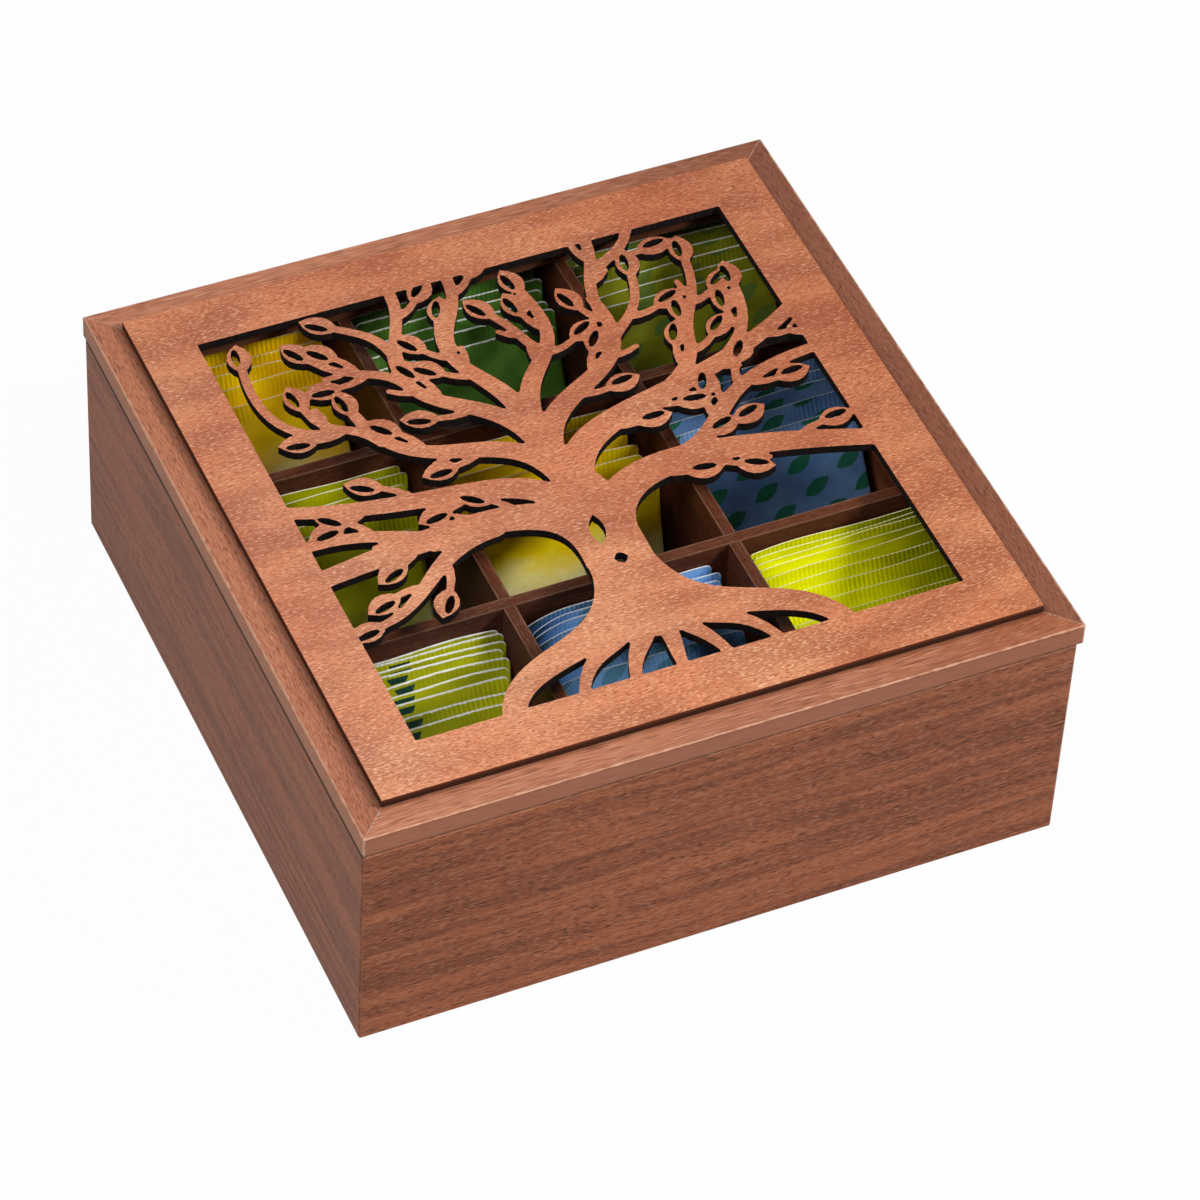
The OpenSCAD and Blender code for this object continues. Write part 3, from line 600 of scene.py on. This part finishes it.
class TEABOX_OT_rails(bpy.types.Operator):
    """Veneer the four mitred rails of the lid, with their joint lines"""

    bl_idname = "teabox.rails"
    bl_label = "Lid rails"

    def execute(self, context):
        wood = context.scene.tea_wood
        tones = (wood.rail_light, wood.rail_dark, wood.veneer_pore)
        redder = [Vector(each) * Vector((0.9, 0.84, 0.8)) for each in tones]
        block = (LID_LOW, LID_HIGH)
        for name, sides, turn, shift, colours, look in (
            ("Front and back rail veneer", ("front", "back"), 0.0, (0.2, 0.1, 0.5), tones, dict(
                band=wood.front_band, lip=0.35, seam=0.8 * MM, dark_seam=0.45,
                Pore_share=0.45, Fleck_share=0.45, Pore_length=0.0075, Pore_width=0.0004,
            )),
            ("Side rail veneer", ("left", "right"), math.pi / 2, (0.7, 0.3, 0.1), redder, dict(
                band=wood.side_band, far=(0.578, 0.583, 0.61), seam=1.1 * MM,
                Pore_share=0.5, Fleck_share=0.3, Pore_length=0.0028, Pore_width=0.0003,
            )),
        ):
            material = veneer(
                name, *colours, turn, block, shift, gloss=0.16, glint_share=0.55,
                Band_width=0.016, Streak_length=0.014, Streak_width=0.00045, Contrast=0.8, **look,
            )
            dress(material, *(f"lid_{side}_rail" for side in sides))
        return {"FINISHED"}


class TEABOX_OT_fretwork(bpy.types.Operator):
    """Finish the pierced plywood panel: fine flecks on its faces and charred cut edges"""

    bl_idname = "teabox.fretwork"
    bl_label = "Pierced panel"

    def execute(self, context):
        wood = context.scene.tea_wood
        need("Wood grain")
        material, tree, principled = new_material("Fretwork plywood", Specular_IOR_Level=0.25)
        at, along = object_place(tree, 0.0, (0.05, 0.02, 0.0))
        grain = use(
            tree, "Wood grain", Vector=along, Light=rgba(wood.plywood_light), Dark=rgba(wood.plywood_dark),
            Pore=rgba(wood.plywood_dark), Band_length=0.04, Band_width=0.014, Streak_length=0.0045,
            Streak_width=0.0004, Pore_length=0.0016, Pore_width=0.00034, Pore_share=1.0, Fleck_share=0.75,
            Contrast=1.0,
        )
        x, y, z = parts_of(tree, at)
        # The face is redder in blotches, and paler to the left and to the front, where a sheen of the light is
        # painted
        blotch = step(tree, noise(tree, along, 22.0, 3), 0.35, 0.7, 1, 0)
        face = blend(tree, blotch, grain["Colour"], (0.92, 0.78, 0.72, 1.0), "MULTIPLY")
        wander = maths(tree, "MULTIPLY_ADD", noise(tree, along, 14.0, 2), 0.24, -0.12)
        left = step(tree, maths(tree, "ADD", x, wander), 0.07, -0.01)
        face = blend(tree, left, face, (1.12, 1.2, 1.22, 1.0), "MULTIPLY")
        near = step(tree, maths(tree, "ADD", y, wander), 0.0, -0.075)
        face = blend(tree, near, face, (1.08, 1.17, 1.19, 1.0), "MULTIPLY")
        # The cuts inside are charred, and the outer edges are scorched and paler at the top
        cut = step(tree, flatness(tree), 0.7, 0.4)
        drawn = noise(tree, vector(tree, "MULTIPLY", along, (900.0, 900.0, 260.0)), 1.0, 2)
        charred = blend(tree, step(tree, drawn, 0.5, 0.8), rgba(wood.burnt), rgba(wood.singed))
        outside = step(tree, off_middle(tree, at, PANEL_LOW, PANEL_HIGH), 0.1, 0.105, 0, 0.8)
        paler = step(tree, z, PANEL_LOW.z + 1.4 * MM, PANEL_HIGH.z - 0.3 * MM, 0, 0.45)
        scorched = blend(tree, paler, rgba(wood.scorched), rgba(wood.plywood_dark))
        charred = blend(tree, outside, charred, scorched)
        connect(
            tree, principled, Base_Color=blend(tree, cut, face, charred),
            Roughness=maths(tree, "MULTIPLY_ADD", cut, 0.5, 0.36),
        )
        relief(tree, principled, grain["Height"], 0.03 * MM, 0.5)
        dress(material, "fretwork_panel")
        return {"FINISHED"}


# ---------------------------------------------------------------- glass and brass


def lets_light_in(tree, principled):
    """Glass that lets the lamps through: rays that only measure light pass it straight."""
    path = add(tree, "ShaderNodeLightPath").outputs
    free = maths(tree, "MAXIMUM", path["Is Shadow Ray"], path["Is Diffuse Ray"])
    free = maths(tree, "MAXIMUM", free, path["Is Glossy Ray"])
    clear = add(tree, "ShaderNodeBsdfTransparent")
    both = add(tree, "ShaderNodeMixShader", {0: free, 1: principled.outputs[0], 2: clear.outputs[0]})
    tree.links.new(both.outputs[0], tree.nodes["Material Output"].inputs["Surface"])


class TEABOX_OT_pane(bpy.types.Operator):
    """Glaze the lid: a clear pane with a trace of dust and wipe marks"""

    bl_idname = "teabox.pane"
    bl_label = "Window pane"

    def execute(self, context):
        material, tree, principled = new_material(
            "Clear pane", Transmission_Weight=1.0, IOR=1.04, Roughness=0.08
        )
        at, _along = object_place(tree)
        wiped = noise(tree, vector(tree, "MULTIPLY", at, (30.0, 9.0, 9.0)), 1.0, 3)
        dusty = step(tree, wiped, 0.4, 0.8)
        tint = blend(tree, dusty, (0.97, 0.985, 0.975, 1.0), (0.94, 0.955, 0.945, 1.0))
        connect(tree, principled, Base_Color=tint)
        lets_light_in(tree, principled)
        dress(material, "window_pane")
        return {"FINISHED"}


def brass(name, bright, dull):
    need("Metal patina")
    material, tree, principled = new_material(name, Metallic=1.0)
    at, _along = object_place(tree)
    patina = use(tree, "Metal patina", Vector=at)
    scratched = maths(tree, "MULTIPLY_ADD", patina["Scratch"], 0.1, 0.22)
    connect(
        tree, principled, Base_Color=blend(tree, patina["Patch"], rgba(bright), rgba(dull)),
        Roughness=maths(tree, "MULTIPLY_ADD", patina["Patch"], 0.25, scratched),
    )
    relief(tree, principled, patina["Scratch"], 0.01 * MM, 0.5)
    return material


class TEABOX_OT_hinges(bpy.types.Operator):
    """Finish the hinge leaves, their pins and their screws in brass"""

    bl_idname = "teabox.hinges"
    bl_label = "Hinges"

    def execute(self, context):
        metal = context.scene.tea_metal
        leaves = [f"{side}_hinge_{part}_leaf" for side in ("left", "right") for part in ("box", "lid")]
        dress(brass("Hinge brass", metal.brass, metal.tarnish), *leaves)
        dress(
            brass("Screw brass", metal.pin, metal.brass),
            "left_hinge_pin", "right_hinge_pin", "box_hinge_screws", "lid_hinge_screws",
        )
        return {"FINISHED"}


# ---------------------------------------------------------------- sachets

class Stack(NamedTuple):
    """One stack of sachets, and the print on its foil."""

    column: int  # -1 at the left to 1 at the right
    row: int  # -1 at the front to 1 at the rear
    count: int
    plump: float  # share of the greatest belly
    leans: tuple  # degrees, of the rear sachet and of the front one
    sides: tuple  # share of the room beside them that is at their left, rear and front
    curls: tuple  # how far the left and right upper corners curl forwards, in millimetres
    edge: float  # width of the pale cut edge in millimetres
    pale: float = 0.0  # share of the pale print
    pale_from: float = 0.6  # how far down the face the pale print starts
    leaves: float = 0.0  # share of the leaf print
    mark: bool = False  # whether the upper band has an eye mark
    painted_shade_right: float = 0.0  # how much painted shade darkens the colour to the right


STACKS = {
    "front_left": Stack(-1, -1, 9, 0.6, (6, 36), (0.85, 0.35), (0.2, 0.9), edge=0.55, mark=True),
    "front_middle": Stack(0, -1, 8, 0.7, (6, 32), (0.2, 0.4), (3.2, 0.3), edge=0.3, leaves=0.5),
    "front_right": Stack(1, -1, 9, 0.6, (6, 38), (0.3, 0.6), (0.8, -0.3), edge=0.16, painted_shade_right=0.63),
    "centre_left": Stack(-1, 0, 6, 0.9, (8, 34), (0.6, 0.3), (0.3, 0.3), edge=0.22, pale=0.75, pale_from=0.45),
    "centre_middle": Stack(0, 0, 7, 1.2, (8, 16), (0.2, 0.0), (0.3, 0.5), edge=0.22, pale=0.8, pale_from=0.3),
    "centre_right": Stack(1, 0, 6, 0.9, (8, 35), (0.4, 0.3), (0.8, 0.4), edge=0.2, leaves=0.9),
    "rear_left": Stack(-1, 1, 7, 0.9, (8, 34), (0.5, 0.3), (0.3, 0.6), edge=0.2, pale=0.7, pale_from=0.35),
    "rear_middle": Stack(0, 1, 8, 0.9, (7, 30), (0.5, 0.4), (0.4, 0.4), edge=0.5),
    "rear_right": Stack(1, 1, 8, 0.9, (7, 30), (0.5, 0.6), (0.3, 0.3), edge=0.35, leaves=0.5),
}
# Columns of a sachet's grid as shares of its width, closer together at its rounded corners
COLUMNS = np.concatenate([[0, 0.004, 0.01, 0.02], np.linspace(0.034, 0.966, 30), [0.98, 0.99, 0.996, 1]])


def sachet_width(sachet):
    return CELL - sachet.side_room


def sachet_thickness(sachet, belly, height):
    """Thickness at a height along a sachet: the crimp's at both ends, and between them a swelling
    with the square root of a half sine."""
    share = np.clip((height - sachet.crimp) / (sachet.height - 2 * sachet.crimp), 0, 1)
    return sachet.thin + (belly - sachet.thin) * np.sqrt(np.sin(np.pi * share).clip(0))


def stack_places(sachet, spec, belly):
    """Low left corner (count, 3) and lean (count) of each sachet. Each one stands so far forward
    of the last that it lies on it at the tightest of nine heights. To the sides a sine of its
    number shifts it a little."""
    lean = np.radians(np.linspace(*spec.leans, spec.count))
    heights = sachet.height * np.arange(2, 11) / 10
    last, own = lean[:-1, None], lean[1:, None]
    steps = (
        sachet_thickness(sachet, belly, heights) / np.cos(own)
        + sachet.gap
        + heights * np.cos(own) * (np.tan(own) - np.tan(last))
    ).max(1)
    upper = sachet.height * np.arange(5, 11) / 10
    behind = (upper * np.sin(lean[0]) + sachet_thickness(sachet, belly, upper) / 2 * np.cos(lean[0])).max()
    rear = spec.row * (CELL + BOARD) + CELL / 2 - sachet.gap - behind
    left = spec.column * (CELL + BOARD) - CELL / 2 + sachet.gap
    uneven = 0.16 * np.sin(2.3 * np.arange(spec.count) + spec.column + spec.row)
    beside = np.clip(np.linspace(*spec.sides, spec.count) + uneven, 0, 1)
    return np.stack([
        left + (sachet.side_room - 2 * sachet.gap) * beside,
        rear - np.concatenate([[0], np.cumsum(steps)]),
        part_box("base_panel")[1].z + sachet.lift + sachet.thin / 2 * np.sin(lean),
    ], 1), lean


def sachet_points(sachet, spec, across, face, up, rng):
    """Points of a stack, (count * rows * around, 3). A point lies across * width to the right, up
    along the lean, and half the thickness to the front or back. The thickness shrinks to the
    sides with a sixth power, and towards the top the sheet wanders by two sines across it, and
    its corners curl and are rounded by quarter circles."""
    belly = spec.plump * sachet.belly
    place, lean = stack_places(sachet, spec, belly)
    width, tall, count = sachet_width(sachet), sachet.height, spec.count
    phase = rng.uniform(0, 1, (4, count, 1, 1))
    askew, short = rng.uniform(-0.014, 0.014, (count, 1, 1)), rng.uniform(0, 0.016, (count, 1, 1))
    size = rng.uniform(0.35, 1.0, (2, count, 1, 1)) * sachet.wave
    rise = np.clip((up / tall - 0.5) / 0.5, 0, 1) ** 2
    sway = size[0] * np.sin(2 * np.pi * (0.7 * across + phase[0])) + 0.5 * size[1] * np.sin(
        2 * np.pi * (1.9 * across + phase[1])
    )
    corner = np.clip((up / tall - 0.72) / 0.28, 0, 1) ** 2
    curl = MM * corner * (
        spec.curls[0] * np.clip(1 - across * 4, 0, 1) ** 2 + spec.curls[1] * np.clip(across * 4 - 3, 0, 1) ** 2
    )
    side = np.sqrt(np.clip(1 - np.abs(2 * across - 1) ** 6, 0, 1))
    thick = sachet.sheet + (sachet_thickness(sachet, belly, up) - sachet.thin) * side
    swell = 1 - 0.12 * phase[2] * np.sin(np.pi * across) ** 2
    normal = rise * sway - curl + face * thick * swell / 2
    sag = 0.5 * MM * rise * (1 - np.cos(2 * np.pi * (across + phase[3]))) / 2
    inset = np.clip(1 - np.minimum(across, 1 - across) * width / sachet.corner, 0, 1)
    rounded = sachet.corner * (1 - np.sqrt(1 - inset**2)) * np.clip(1 - (tall - up) / sachet.crimp, 0, 1)
    slope = rise * (across - 0.5) * width * askew
    along = up * (1 - short) - sag - 0.5 * curl + slope - rise * 0.5 * MM - rounded
    cos, sin = np.cos(lean)[:, None, None], np.sin(lean)[:, None, None]
    x = place[:, 0, None, None] + across * width
    y = place[:, 1, None, None] + normal * cos + along * sin
    z = place[:, 2, None, None] - normal * sin + along * cos
    z = np.maximum(z, place[:, 2].min() - sachet.lift)
    return np.stack(np.broadcast_arrays(x, y, z), -1).reshape(-1, 3)


def tube_faces(count, rows, around):
    """Faces of closed tubes, each one a grid of points: the wall, and a row of quads across both
    ends from the first half of the section to the second."""
    ring = np.arange(around)
    wall = np.arange(rows - 1)[:, None] * around
    quads = np.stack([
        wall + ring, wall + np.roll(ring, -1), wall + around + np.roll(ring, -1), wall + around + ring
    ], -1).reshape(-1, 4)
    pairs = np.arange(around // 2 - 1)
    cap = np.stack([pairs, around - 1 - pairs, around - 2 - pairs, pairs + 1], -1)
    faces = np.concatenate([quads, cap, cap[:, ::-1] + (rows - 1) * around])
    return (faces[None] + rows * around * np.arange(count)[:, None, None]).reshape(-1, 4)


def sachet_stack(name, sachet, spec, seed):
    """A stack as one mesh. A sachet is a closed tube over a grid: one way round its section (the
    front from left to right, then the back) and one way up it. All sachets are worked out as one
    array. The map "label" is the place on a sachet, and "own" is a number of its own."""
    rng = np.random.default_rng(seed)
    across = np.concatenate([COLUMNS, COLUMNS[::-1]])[None, None, :]
    face = np.repeat([-1.0, 1.0], len(COLUMNS))[None, None, :]
    tall, crimp = sachet.height, sachet.crimp
    top_band = tall - crimp * np.array([0.75, 0.5, 0.25, 0.1, 0])
    up = np.concatenate([[0, crimp * 0.5], np.linspace(crimp, tall - crimp, 19), top_band])[None, :, None]
    grid = (spec.count, up.shape[1], across.shape[2])
    mesh = bpy.data.meshes.new(name)
    mesh.from_pydata(sachet_points(sachet, spec, across, face, up, rng), [], tube_faces(*grid))
    label = np.stack([
        np.broadcast_to(across * sachet_width(sachet), grid), np.broadcast_to(up, grid)
    ], -1).reshape(-1, 2)
    layer = mesh.uv_layers.new(name="label")
    corners = np.empty(len(mesh.loops), int)
    mesh.loops.foreach_get("vertex_index", corners)
    layer.uv.foreach_set("vector", label[corners].astype(np.float32).ravel())
    own = mesh.attributes.new("own", "FLOAT", "POINT")
    numbers = np.repeat(rng.uniform(0, 1, spec.count), grid[1] * grid[2])
    own.data.foreach_set("value", numbers.astype(np.float32))
    mesh.shade_smooth()
    mesh.set_sharp_from_angle(angle=math.radians(50))
    mesh.update()
    stack = bpy.data.objects.new(name, mesh)
    bpy.context.scene.collection.objects.link(stack)
    return stack


def foil(name, body, sachet, spec):
    """Glossy printed foil. body is its colour, deeper in soft shades, and painted shade darkens it in the
    crimp's grooves.
    """
    need("Foil wrapper")
    material, tree, principled = new_material(name, Specular_IOR_Level=0.18)
    label = add(tree, "ShaderNodeUVMap", uv_map="label").outputs[0]
    own = add(tree, "ShaderNodeAttribute", attribute_name="own").outputs["Fac"]
    wrap = use(
        tree, "Foil wrapper", Label=label, Own=own, Height=sachet.height, Crimp=sachet.crimp,
        Rib_pitch=sachet.rib_pitch, Edge_width=spec.edge * MM, Pale_from=spec.pale_from, Pale_share=spec.pale,
    )
    deep = blend(tree, 1.0, rgba(body), rgba(Vector(body) * 0.4 + Vector((0.45, 0.45, 0.45))), "MULTIPLY")
    shown = blend(tree, step(tree, wrap["Shade"], 0.3, 0.7), deep, rgba(body))
    shown = blend(tree, wrap["Pale"], shown, rgba(sachet.pale))
    if spec.leaves:
        shown = blend(tree, maths(tree, "MULTIPLY", wrap["Leaf"], spec.leaves), shown, rgba(sachet.leaf))
    if spec.mark:
        shown = blend(tree, wrap["Mark"], shown, rgba(sachet.mark))
    # Painted shade that darkens the sachets towards their right
    if spec.painted_shade_right:
        uneven = maths(tree, "MULTIPLY_ADD", wrap["Shade"], 0.03, parts_of(tree, label)[0])
        shown = blend(tree, step(tree, uneven, 0.047, 0.071, 0, spec.painted_shade_right), shown, BLACK)
    # Painted shade in the grooves of the crimped ribs
    shown = blend(tree, step(tree, wrap["Rib"], -0.1, -0.9, 0, 0.16), shown, BLACK)
    paper = Vector(body).lerp(Vector(sachet.paper), min(1.0, 0.3 + 1.5 * spec.edge))
    shown = blend(tree, wrap["Cut edge"], shown, rgba(paper))
    rough = maths(tree, "MULTIPLY_ADD", wrap["Cut edge"], 0.4, 0.38)
    connect(tree, principled, Base_Color=shown, Roughness=rough)
    relief(tree, principled, wrap["Relief"], 0.35 * MM, 0.8)
    return material


class TEABOX_OT_sachets(bpy.types.Operator):
    """Fill the nine compartments with leaning stacks of foil sachets"""

    bl_idname = "teabox.sachets"
    bl_label = "Sachets"

    def execute(self, context):
        sachet = context.scene.tea_sachets
        for seed, (spot, spec) in enumerate(STACKS.items()):
            stack = sachet_stack("foil_sachets_" + spot, sachet, spec, seed)
            name = spot.replace("_", " ").capitalize() + " foil"
            stack.data.materials.append(foil(name, tuple(getattr(sachet, spot)), sachet, spec))
            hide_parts("sachets_" + spot)
            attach(stack, "box")
        return {"FINISHED"}


# ---------------------------------------------------------------- stage


def seen_directly(tree, gloss=0.4):
    """1 for rays of the camera and of glass, which show the background, and gloss for glossy rays."""
    path = add(tree, "ShaderNodeLightPath").outputs
    through = maths(tree, "MAXIMUM", path["Is Camera Ray"], path["Is Transmission Ray"])
    return maths(tree, "MAXIMUM", through, maths(tree, "MULTIPLY", path["Is Glossy Ray"], gloss))


# Place and width of each soft box, in metres
LAMPS = {
    "key": ((0.95, -0.7, 1.05), 0.35),
    "top": ((-0.6, -0.3, 1.25), 0.7),
    "glow": ((0.1, 0.48, 0.85), 0.25),
}
LAMPS_FACE = Vector((0, 0, 0.06))


def soft_box(name, place, size, energy):
    """A square lamp that faces the box."""
    data = bpy.data.lights.new(name, "AREA")
    data.shape = "SQUARE"
    data.size = size
    data.energy = energy
    lamp = bpy.data.objects.new(name, data)
    lamp.location = place
    lamp.rotation_euler = (LAMPS_FACE - Vector(place)).to_track_quat("-Z", "Y").to_euler()
    bpy.context.scene.collection.objects.link(lamp)
    return lamp


def white_floor(setup):
    """A wide floor just under the box. Rays of the camera see it as white as the background."""
    far, under = 8.0, -0.3 * MM
    corners = [(-far, -far, under), (far, -far, under), (far, far, under), (-far, far, under)]
    mesh = bpy.data.meshes.new("floor")
    mesh.from_pydata(corners, [], [(0, 1, 2, 3)])
    floor = bpy.data.objects.new("floor", mesh)
    bpy.context.scene.collection.objects.link(floor)
    material, tree, principled = new_material("White floor", Roughness=0.9, Specular_IOR_Level=0.0)
    principled.inputs["Base Color"].default_value = rgba(setup.floor)
    glow = add(tree, "ShaderNodeEmission", {"Color": WHITE, "Strength": 1.0})
    share = maths(tree, "MULTIPLY", seen_directly(tree), 0.97)
    both = add(tree, "ShaderNodeMixShader", {0: share, 1: principled.outputs[0], 2: glow.outputs[0]})
    tree.links.new(both.outputs[0], tree.nodes["Material Output"].inputs["Surface"])
    mesh.materials.append(material)
    return floor


def soft_studio(setup):
    """A world of faint light from all round, which looks white."""
    world = bpy.data.worlds.new("Soft studio")
    world.use_nodes = True
    tree = world.node_tree
    fill = tree.nodes["Background"]
    fill.inputs["Color"].default_value = WHITE
    fill.inputs["Strength"].default_value = setup.fill
    white = add(tree, "ShaderNodeBackground", {"Color": WHITE, "Strength": 1.0})
    both = add(
        tree, "ShaderNodeMixShader", {0: seen_directly(tree), 1: fill.outputs[0], 2: white.outputs[0]}
    )
    tree.links.new(both.outputs[0], tree.nodes["World Output"].inputs["Surface"])
    return world


def aimed_camera(setup):
    """A camera whose view is turned to the right, dipped below the horizon and then rolled."""
    turn, dip, roll = setup.turn, setup.dip, setup.roll
    ahead = Vector((math.sin(turn) * math.cos(dip), math.cos(turn) * math.cos(dip), -math.sin(dip)))
    level = Vector((math.cos(turn), -math.sin(turn), 0))
    upward = level.cross(ahead)
    right = level * math.cos(roll) + upward * math.sin(roll)
    upward = right.cross(ahead)
    data = bpy.data.cameras.new("camera")
    data.lens = setup.lens
    data.sensor_width = 36
    data.clip_end = 50
    camera = bpy.data.objects.new("camera", data)
    axes = Matrix((right, upward, -ahead)).transposed().to_4x4()
    camera.matrix_world = Matrix.Translation(setup.eye) @ axes
    bpy.context.scene.collection.objects.link(camera)
    return camera


class TEABOX_OT_stage(bpy.types.Operator):
    """Set out the white floor, the soft lamps and the camera"""

    bl_idname = "teabox.stage"
    bl_label = "Floor, lamps and camera"

    def execute(self, context):
        setup = context.scene.tea_stage
        floor = white_floor(setup)
        context.scene.world = soft_studio(setup)
        for name, (place, size) in LAMPS.items():
            lamp = soft_box(name + " lamp", place, size, getattr(setup, name))
            lamp.visible_diffuse = name != "glow"  # the glow is seen only as sheen
        context.scene.camera = aimed_camera(setup)
        context.scene.view_settings.view_transform = "Standard"
        return {"FINISHED"}


# ---------------------------------------------------------------- add-on

OPERATORS = (
    TEABOX_OT_walls,
    TEABOX_OT_dividers,
    TEABOX_OT_rails,
    TEABOX_OT_fretwork,
    TEABOX_OT_pane,
    TEABOX_OT_hinges,
    TEABOX_OT_sachets,
    TEABOX_OT_stage,
)
SETTINGS = {
    "tea_wood": WoodFinish,
    "tea_metal": MetalFinish,
    "tea_sachets": SachetFinish,
    "tea_stage": StageSetup,
}


class TEABOX_PT_panel(bpy.types.Panel):
    """Buttons and settings of the tea box in the sidebar"""

    bl_idname = "TEABOX_PT_panel"
    bl_label = "Tea box"
    bl_space_type = "VIEW_3D"
    bl_region_type = "UI"
    bl_category = "Tea box"

    def draw(self, context):
        for operator in OPERATORS:
            self.layout.operator(operator.bl_idname)
        for name, group in SETTINGS.items():
            box = self.layout.box()
            for key in group.__annotations__:
                box.prop(getattr(context.scene, name), key)


def register():
    for cls in (*SETTINGS.values(), *OPERATORS, TEABOX_PT_panel):
        bpy.utils.register_class(cls)
    for name, group in SETTINGS.items():
        setattr(bpy.types.Scene, name, PointerProperty(type=group))


def unregister():
    for name in SETTINGS:
        delattr(bpy.types.Scene, name)
    for cls in reversed((*SETTINGS.values(), *OPERATORS, TEABOX_PT_panel)):
        bpy.utils.unregister_class(cls)


def main():
    register()
    for operator in OPERATORS:
        getattr(bpy.ops.teabox, operator.bl_idname.split(".")[1])()


if __name__ == "__main__":
    main()
